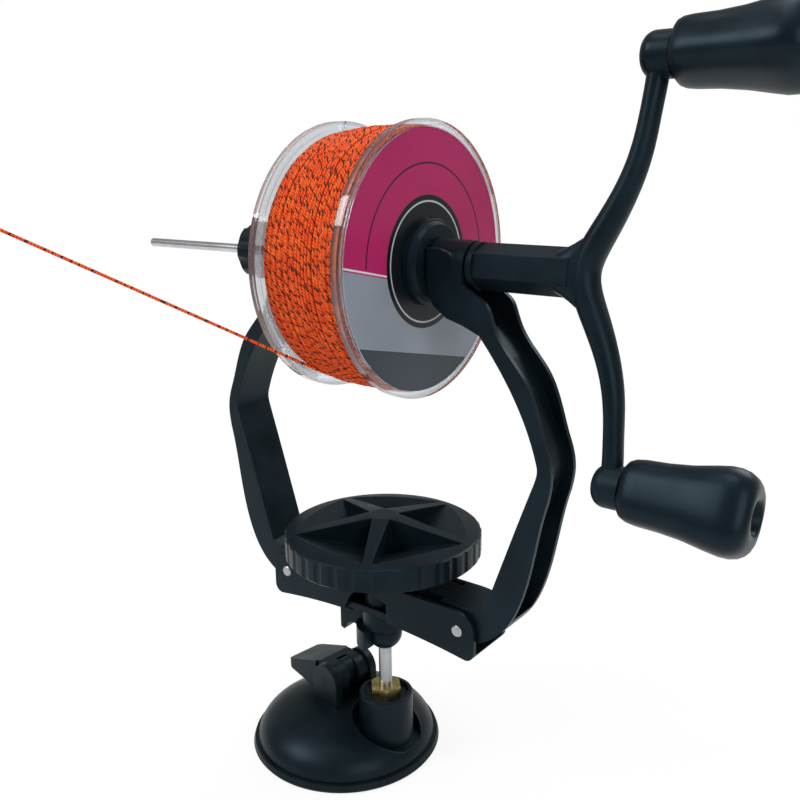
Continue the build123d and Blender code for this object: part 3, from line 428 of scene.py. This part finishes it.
def printed_disc():
    """The spool's side print: a dark middle, a plum field, a grey foot and a dark foot."""
    mat, nodes, links, skin = new_material("printed_disc")
    parts = nodes.new("ShaderNodeSeparateXYZ")
    links.new(object_place(nodes), parts.inputs[0])
    across = parts.outputs[1]
    up = calc(nodes, links, "SUBTRACT", parts.outputs[2], SPINDLE_Z)
    radius = radius_from_spindle(nodes, links)

    def leaning(slope, height):
        """Height above a straight border that rises by slope along the disc."""
        border = calc(nodes, links, "ADD", calc(nodes, links, "MULTIPLY", across, slope), height)
        return calc(nodes, links, "SUBTRACT", up, border)

    def below(value, edge):
        return calc(nodes, links, "LESS_THAN", value, edge)

    def within(value, centre, width):
        """1 in a band of this width about the centre."""
        off = calc(nodes, links, "ABSOLUTE", calc(nodes, links, "SUBTRACT", value, centre))
        return below(off, width / 2)

    fade = spread(nodes, links, noise(nodes, links, object_place(nodes), 25.0, 2.0), 0.3, 0.7)
    plum = mix_colour(nodes, links, fade, (0.315, 0.012, 0.085), (0.355, 0.016, 0.098))
    grey = mix_colour(nodes, links, fade, (0.19, 0.215, 0.255), (0.225, 0.25, 0.29))
    shore = leaning(LABEL_LEAN, LABEL_SHORE)
    field = mix_colour(nodes, links, below(shore, 0.0), plum, grey)
    deep = leaning(LABEL_LEAN, LABEL_DEEP)
    field = mix_colour(nodes, links, below(deep, 0.0), field, (0.030, 0.042, 0.055))
    rule = within(shore, LABEL_RULE_RISE, LABEL_RULE_WIDTH)
    field = mix_colour(nodes, links, rule, field, (0.56, 0.57, 0.60))
    above = calc(nodes, links, "GREATER_THAN", shore, 2.0 * MM)
    halo = calc(nodes, links, "MULTIPLY", within(radius, LABEL_HALO_RADIUS, LABEL_RING_WIDTH), above)
    field = mix_colour(nodes, links, halo, field, (0.030, 0.008, 0.016))
    field = mix_colour(nodes, links, below(radius, LABEL_BLACK_RADIUS), field, (0.004, 0.007, 0.009))
    ring = within(radius, LABEL_BLACK_RADIUS - LABEL_RING_INSET, LABEL_RING_WIDTH)
    field = mix_colour(nodes, links, ring, field, (0.40, 0.41, 0.43))
    links.new(field, skin.inputs["Base Color"])
    skin.inputs["Roughness"].default_value = 0.32
    skin.inputs["Specular IOR Level"].default_value = 0.25
    bump(nodes, links, skin, noise(nodes, links, object_place(nodes), 700.0), 0.00001, 0.5)
    return mat


BODY_BLACK = (0.0022, 0.0052, 0.0075)
DOME_BLACK = (0.0018, 0.0042, 0.0060)
GRIP_BLACK = (0.0020, 0.0046, 0.0068)
RUBBER_BLACK = (0.0030, 0.0055, 0.0072)
FINE_GRAIN = 0.01 * MM
COARSE_GRAIN = 0.02 * MM
FINISH = {
    "satin": black_moulding("satin_moulding", BODY_BLACK, (0.30, 0.44), COARSE_GRAIN, 0.5 * MM, 0.13),
    "gloss": black_moulding("gloss_moulding", DOME_BLACK, (0.32, 0.42), FINE_GRAIN, 0.6 * MM, 0.16),
    "grip": black_moulding("grip_moulding", GRIP_BLACK, (0.30, 0.42), FINE_GRAIN, 0.8 * MM, 0.16),
    "rubber": black_moulding("cup_rubber", RUBBER_BLACK, (0.28, 0.42), COARSE_GRAIN, 0.3 * MM, 0.16),
    "rod": turned_steel("rod_steel", 0, (0.52, 0.53, 0.55)),
    "screw": turned_steel("screw_steel", 2, (0.40, 0.42, 0.43), 0.24),
    "pin": turned_steel("pin_steel", 1, (0.40, 0.41, 0.42), 0.34),
    "brass": worn_brass(),
    "clear": clear_moulding(),
    "print": printed_disc(),
    "wound": line_finish("wound_line_finish", uv_axis("strand", 0), uv_axis("strand", 1)),
    "packed": inner_line(),
}

NODE_FINISH = {
    "suction_cup": "rubber",
    "dome_housing": "gloss",
    "cup_stem": "satin",
    "lever_pin": "satin",
    "cam_lever": "satin",
    "barrel_insert": "satin",
    "lock_nut": "brass",
    "stud": "screw",
    "ball_nut": "satin",
    "bracket": "satin",
    "ball_claw": "satin",
    "clamp_bolt": "screw",
    "pivot_pin_left": "pin",
    "pivot_pin_right": "pin",
    "width_knob": "satin",
    "knob_insert": "screw",
    "thrust_washer": "screw",
    "arm_left": "satin",
    "arm_right": "satin",
    "bush_left": "satin",
    "bush_right": "satin",
    "axle_rod": "rod",
    "drive_cone": "satin",
    "idle_cone": "satin",
    "crank": "satin",
    "crank_collar": "satin",
    "handle_top": "grip",
    "handle_bottom": "grip",
    "handle_spindle_top": "rod",
    "handle_spindle_bottom": "rod",
    "lobed_nut": "satin",
    "nut_washer": "satin",
    "spool": "clear",
    "side_label": "print",
    "winding_core": "packed",
    "winding_turns": "wound",
}


def dress(obj, finish):
    obj.data.materials.clear()
    obj.data.materials.append(FINISH[finish])


def piece(name, mesh, finish, body):
    """A new piece in the row frame that rides on a CAD body."""
    obj = bpy.data.objects.new(name, mesh)
    bpy.context.scene.collection.objects.link(obj)
    dress(obj, finish)
    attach(obj, body)
    return obj


# ---------------------------------------------------------------- grips and crank

GRIP_HALF_WIDTH = 15.0 * MM
GRIP_SQUARENESS = 2.9  # 2 is an ellipse, more is squarer
GRIP_STATIONS = (  # share of the length, half width and half thickness as shares of the half width
    (0.0, 0.52, 0.48),
    (0.006, 0.60, 0.53),
    (0.028, 0.68, 0.59),
    (0.07, 0.735, 0.63),
    (0.14, 0.765, 0.645),
    (0.32, 0.785, 0.66),
    (0.5, 0.84, 0.705),
    (0.68, 0.94, 0.78),
    (0.78, 0.985, 0.82),
    (0.85, 0.98, 0.815),
    (0.905, 0.935, 0.78),
    (0.945, 0.86, 0.72),
    (0.972, 0.765, 0.645),
    (0.990, 0.65, 0.56),
    (1.0, 0.50, 0.47),
)
GRIP_BORE = 5.5 * MM
GRIP_BORE_DEPTH = 8.0 * MM
GRIP_PIN_HOLE = 2.6 * MM
GRIP_MOUTH = 0.9 * MM  # how much wider the bore opens at its mouth
GRIP_BORE_ROUND = 0.3 * MM
GRIP_SEGMENTS = 56
TOP_GRIP_TURN = 60.0  # degrees about the grip's own screw
BOTTOM_GRIP_TURN = -28.0


def grown_ring(form, edges):
    """Extrudes a ring of edges once; returns the new edges and vertices."""
    grown = bmesh.ops.extrude_edge_only(form, edges=edges)
    new_edges = [e for e in grown["geom"] if isinstance(e, bmesh.types.BMEdge)]
    return new_edges, [v for v in grown["geom"] if isinstance(v, bmesh.types.BMVert)]


def squared_circle(place, wide, thick, squareness):
    """A unit circle's point moved onto a rounded rectangle."""
    power = 2.0 / squareness
    x = math.copysign(abs(place.x) ** power, place.x) * wide
    y = math.copysign(abs(place.y) ** power, place.y) * thick
    return x, y


def turned_form(stations, segments, closed_ends):
    """Rings along +Z from (height, half width, half thickness, squareness) stations."""
    form = bmesh.new()
    made = bmesh.ops.create_circle(form, segments=segments, radius=1.0)
    ring = made["verts"]
    unit = [v.co.copy() for v in ring]
    edges = list(form.edges)
    first = list(edges)
    for k, (height, wide, thick, squareness) in enumerate(stations):
        if k:
            edges, ring = grown_ring(form, edges)
        for v, place in zip(ring, unit):
            v.co = (*squared_circle(place, wide, thick, squareness), height)
    if closed_ends:
        bmesh.ops.holes_fill(form, edges=form.edges)
    else:
        bmesh.ops.bridge_loops(form, edges=first + edges)
    bmesh.ops.recalc_face_normals(form, faces=form.faces)
    return form


def finished_mesh(form, name, matrix):
    bmesh.ops.transform(form, matrix=matrix, verts=form.verts)
    bmesh.ops.recalc_face_normals(form, faces=form.faces)
    mesh = bpy.data.meshes.new(name)
    form.to_mesh(mesh)
    form.free()
    for face in mesh.polygons:
        face.use_smooth = True
    return mesh


def grip(node, body, turn):
    """Swelling grip with softly squared sides and a rounded, bored end."""
    low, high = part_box(node)
    length = high[0] - low[0]
    stations = [
        (share * length, wide * GRIP_HALF_WIDTH, thick * GRIP_HALF_WIDTH, GRIP_SQUARENESS)
        for share, wide, thick in GRIP_STATIONS
    ]
    floor = length - GRIP_BORE_DEPTH
    stations += [
        (length - 0.1 * MM, GRIP_BORE + GRIP_MOUTH, GRIP_BORE + GRIP_MOUTH, 2.0),
        (length - 0.7 * MM, GRIP_BORE, GRIP_BORE, 2.0),
        (floor + GRIP_BORE_ROUND, GRIP_BORE, GRIP_BORE, 2.0),
        (floor, GRIP_BORE - GRIP_BORE_ROUND, GRIP_BORE - GRIP_BORE_ROUND, 2.0),
        (floor, GRIP_PIN_HOLE, GRIP_PIN_HOLE, 2.0),
        (0.0, GRIP_PIN_HOLE, GRIP_PIN_HOLE, 2.0),
    ]
    form = turned_form(stations, GRIP_SEGMENTS, closed_ends=False)
    at = middle(node)
    lay = Matrix.Rotation(math.radians(90), 4, "Y") @ Matrix.Rotation(math.radians(turn), 4, "Z")
    mesh = finished_mesh(form, node + "_moulded", Matrix.Translation((low[0], at[1], at[2])) @ lay)
    obj = piece(node + "_moulded", mesh, "grip", body)
    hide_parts(node)


CRANK_LEAN = 8.9  # degrees
SLEEVE_END = STUD_X + 89.5 * MM
ROOT_SEGMENTS = 40
ROOT_STATIONS = (  # beyond the sleeve's end, half length along the bar, half width, squareness
    (-9.0, 6.6, 6.6, 2.2),
    (-6.0, 7.9, 7.4, 2.4),
    (-3.0, 9.1, 7.8, 2.6),
    (-0.5, 10.5, 7.7, 2.6),
    (2.0, 12.4, 7.0, 2.5),
    (4.2, 14.2, 6.0, 2.2),
    (5.6, 14.6, 4.6, 2.0),
)


def crank_root():
    """The swelling where the six-sided sleeve runs out into the two arms."""
    stations = [(x * MM, a * MM, b * MM, squareness) for x, a, b, squareness in ROOT_STATIONS]
    form = turned_form(stations, ROOT_SEGMENTS, closed_ends=True)
    lay = Matrix.Rotation(math.radians(-CRANK_LEAN), 4, "X") @ Matrix.Rotation(math.radians(90), 4, "Y")
    mesh = finished_mesh(form, "crank_root", Matrix.Translation((SLEEVE_END, 0, SPINDLE_Z)) @ lay)
    piece("crank_root", mesh, "satin", "spindle")


# ---------------------------------------------------------------- wound line

def wind_radius(x):
    t = (x - WIND_LEFT) / (WIND_RIGHT - WIND_LEFT)
    rise = math.sin(min(max(t, 0.0) / WIND_SHOULDER, 1.0) * math.pi / 2)
    return WIND_RADIUS_LEFT + (WIND_RADIUS_MIDDLE - WIND_RADIUS_LEFT) * rise


def strand_mesh(name, start_x, end_x, turns, lift, wobble, first_angle, seed):
    """Line spun round the spindle from start_x to end_x as one strand, with its UVs in millimetres."""
    draw = random.Random(seed)
    phases = [draw.uniform(0, 2 * math.pi) for _ in range(4)]
    steps = int(turns * STEPS_PER_TURN)
    form = bmesh.new()
    made = bmesh.ops.create_circle(form, segments=STRAND_SIDES, radius=LINE_DIAMETER / 2)
    stand = Matrix.Rotation(math.radians(90), 4, "Y") @ Matrix.Rotation(math.radians(90), 4, "X")
    bmesh.ops.transform(form, matrix=Matrix.Translation((0, 0, 1)) @ stand, verts=made["verts"])
    rings = [list(form.verts)]
    uv = form.loops.layers.uv.new("strand")
    edges = list(form.edges)
    for _ in range(steps):
        edges, verts = grown_ring(form, edges)
        rings.append(verts)
    local = [Vector((v.co.x, v.co.y, v.co.z - 1)) for v in rings[0]]
    for k, verts in enumerate(rings):
        share = k / steps
        turn = first_angle + share * turns * 2 * math.pi
        x = start_x + (end_x - start_x) * share
        sway = sum(math.sin(turn * f + p) for f, p in zip((0.37, 0.91, 1.63, 3.1), phases)) / 4
        x = min(max(x + wobble * sway, WIND_LEFT + LINE_DIAMETER / 2), WIND_RIGHT - LINE_DIAMETER / 2)
        radius = wind_radius(x) + lift + 0.25 * wobble * math.sin(turn * 0.53 + phases[0])
        swing = Matrix.Rotation(turn, 3, "X")
        centre = Vector((x, 0, SPINDLE_Z)) + swing @ Vector((0, 0, radius))
        for v, spot in zip(verts, local):
            v.co = centre + swing @ spot
    bmesh.ops.recalc_face_normals(form, faces=form.faces)
    form.verts.index_update()
    order = {v: (k, i) for k, verts in enumerate(rings) for i, v in enumerate(verts)}
    mm_per_step = TURN_LENGTH / STEPS_PER_TURN
    for face in form.faces:
        spots = [order[loop.vert] for loop in face.loops]
        wraps = max(i for _, i in spots) - min(i for _, i in spots) > 1
        for loop, (k, i) in zip(face.loops, spots):
            around = i + (STRAND_SIDES if wraps and i == 0 else 0)
            loop[uv].uv = (k * mm_per_step, around / STRAND_SIDES)
    for verts in (rings[0], rings[-1]):
        bmesh.ops.contextual_create(form, geom=verts)
    mesh = bpy.data.meshes.new(name)
    form.to_mesh(mesh)
    form.free()
    for face in mesh.polygons:
        face.use_smooth = True
    return mesh


def wound_line():
    first = WIND_LEFT + LINE_DIAMETER / 2
    last = WIND_RIGHT - LINE_DIAMETER / 2
    laid = strand_mesh("wound_line", first, last, WIND_TURNS, 0.0, LAY_WOBBLE, LAY_START, 3)
    laid = piece("wound_line", laid, "wound", "spindle")
    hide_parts("winding_turns")
    pitch = (last - first) / WIND_TURNS
    between = (first + pitch / 2, last - pitch / 2)
    under = strand_mesh(
        "under_turns", *between, WIND_TURNS - 1, -UNDER_DEPTH, UNDER_WOBBLE, LAY_START, 5
    )
    piece("under_turns", under, "wound", "spindle")
    for i in range(CROSSING_STRANDS):
        start = first + (last - first) * (CROSSING_FIRST + CROSSING_STEP * i)
        end = start + (last - first) * CROSSING_WIDTH
        name = f"crossing_turns_{i}"
        crossing = strand_mesh(
            name, start, end, CROSSING_TURNS, CROSSING_LIFT, CROSSING_WOBBLE, 1.3 * i, 11 + i
        )
        piece(name, crossing, "wound", "spindle")


# ---------------------------------------------------------------- free line

def free_line():
    direction = (Vector(LINE_ROUTE[-1]) - Vector(LINE_ROUTE[0])).normalized()
    side = direction.cross(Vector((0, 0, 1))).normalized()
    FINISH["drawn"] = line_finish(
        "drawn_line_finish",
        along_direction(direction, 1000.0),
        along_direction(side, 0.5 / FREE_LINE_DIAMETER),
    )
    curve = bpy.data.curves.new("drawn_line", "CURVE")
    curve.dimensions = "3D"
    curve.bevel_depth = FREE_LINE_DIAMETER / 2
    curve.bevel_resolution = 3
    curve.use_fill_caps = True
    spline = curve.splines.new("NURBS")
    spline.points.add(len(LINE_ROUTE) - 1)
    for point, place in zip(spline.points, LINE_ROUTE):
        point.co = (*place, 1.0)
    spline.order_u = 3
    spline.use_endpoint_u = True
    obj = bpy.data.objects.new("drawn_line", curve)
    bpy.context.scene.collection.objects.link(obj)
    curve.materials.append(FINISH["drawn"])
    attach(obj, "carriage")
    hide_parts("free_line")
    loop = NODES["line_loop"]
    dress(loop, "drawn")


# ---------------------------------------------------------------- studio

FLOOR_HALF = 12.0
GLOSSY_SKY = 0.35
PLAIN_SKY = 0.4
LAMPS = (  # name, place, size, power
    ("key", (-0.55, -0.75, 0.95), 0.55, 9.0),
    ("fill", (0.95, -0.45, 0.55), 0.60, 4.0),
    ("back", (0.25, 0.85, 0.85), 0.60, 6.0),
    ("top", (0.05, -0.05, 1.25), 0.50, 5.0),
)
LAMP_AIM = (STUD_X, 0.0, 0.16)


def seen_directly(nodes, links, path):
    """1 for rays from the camera, also through clear plastic."""
    return calc(nodes, links, "MAXIMUM", path.outputs["Is Camera Ray"], path.outputs["Is Transmission Ray"])


def white_floor():
    """Pale floor that camera and clear-plastic rays see as white, with the shadow kept close by."""
    mat = bpy.data.materials.new("floor_white")
    mat.use_nodes = True
    nodes, links = mat.node_tree.nodes, mat.node_tree.links
    nodes.clear()
    out = nodes.new("ShaderNodeOutputMaterial")
    matt = nodes.new("ShaderNodeBsdfDiffuse")
    place = object_place(nodes)
    cloud = spread(nodes, links, noise(nodes, links, place, 3.0), 0.3, 0.7)
    tone = mix_colour(nodes, links, cloud, (0.86, 0.86, 0.86), (0.85, 0.85, 0.85))
    links.new(tone, matt.inputs["Color"])
    glow = nodes.new("ShaderNodeEmission")
    glow.inputs["Strength"].default_value = 1.0
    path = nodes.new("ShaderNodeLightPath")
    seen = seen_directly(nodes, links, path)
    far = nodes.new("ShaderNodeVectorMath")
    far.operation = "LENGTH"
    links.new(place, far.inputs[0])
    whiteness = spread(nodes, links, far.outputs["Value"], 0.05, 0.6, 0.86, 1.0)
    mix = nodes.new("ShaderNodeMixShader")
    links.new(calc(nodes, links, "MULTIPLY", seen, whiteness), mix.inputs[0])
    links.new(matt.outputs[0], mix.inputs[1])
    links.new(glow.outputs[0], mix.inputs[2])
    links.new(mix.outputs[0], out.inputs["Surface"])
    return mat


def floor_piece():
    form = bmesh.new()
    bmesh.ops.create_grid(form, x_segments=2, y_segments=2, size=FLOOR_HALF)
    mesh = bpy.data.meshes.new("floor")
    form.to_mesh(mesh)
    form.free()
    floor = bpy.data.objects.new("floor", mesh)
    bpy.context.scene.collection.objects.link(floor)
    mesh.materials.append(white_floor())


def sky():
    world = bpy.data.worlds.new("studio")
    bpy.context.scene.world = world
    world.use_nodes = True
    nodes, links = world.node_tree.nodes, world.node_tree.links
    nodes.clear()
    out = nodes.new("ShaderNodeOutputWorld")
    glow = nodes.new("ShaderNodeBackground")
    path = nodes.new("ShaderNodeLightPath")
    glossy = calc(nodes, links, "MULTIPLY", path.outputs["Is Glossy Ray"], GLOSSY_SKY)
    seen = calc(nodes, links, "MAXIMUM", seen_directly(nodes, links, path), glossy)
    glow.inputs["Color"].default_value = (1, 1, 1, 1)
    links.new(calc(nodes, links, "MAXIMUM", seen, PLAIN_SKY), glow.inputs["Strength"])
    links.new(glow.outputs[0], out.inputs["Surface"])


def lamps():
    aim = Vector(LAMP_AIM)
    for name, place, size, power in LAMPS:
        lamp = bpy.data.lights.new(name, "AREA")
        lamp.shape = "SQUARE"
        lamp.size = size
        lamp.energy = power
        obj = bpy.data.objects.new(name, lamp)
        obj.location = place
        obj.rotation_euler = (aim - Vector(place)).to_track_quat("-Z", "Y").to_euler()
        bpy.context.scene.collection.objects.link(obj)


def photo_camera():
    lens = bpy.data.cameras.new("photo_camera")
    lens.lens = CAMERA_LENS
    lens.sensor_width = 36.0
    lens.clip_start = 0.01
    lens.clip_end = 100.0
    obj = bpy.data.objects.new("photo_camera", lens)
    turn = Matrix.Rotation(math.radians(CAMERA_AZIMUTH), 4, "Z")
    tilt = Matrix.Rotation(math.radians(90 - CAMERA_DOWN), 4, "X")
    roll = Matrix.Rotation(math.radians(CAMERA_ROLL), 4, "Z")
    obj.matrix_world = Matrix.Translation(CAMERA_AT) @ turn @ tilt @ roll
    bpy.context.scene.collection.objects.link(obj)
    bpy.context.scene.camera = obj


# ---------------------------------------------------------------- assembly

for node_name, finish_name in NODE_FINISH.items():
    dress(NODES[node_name], finish_name)

wound_line()
free_line()
grip("handle_top", "top_handle", TOP_GRIP_TURN)
grip("handle_bottom", "bottom_handle", BOTTOM_GRIP_TURN)
crank_root()
floor_piece()
sky()
lamps()
photo_camera()
bpy.context.scene.view_settings.view_transform = "Standard"
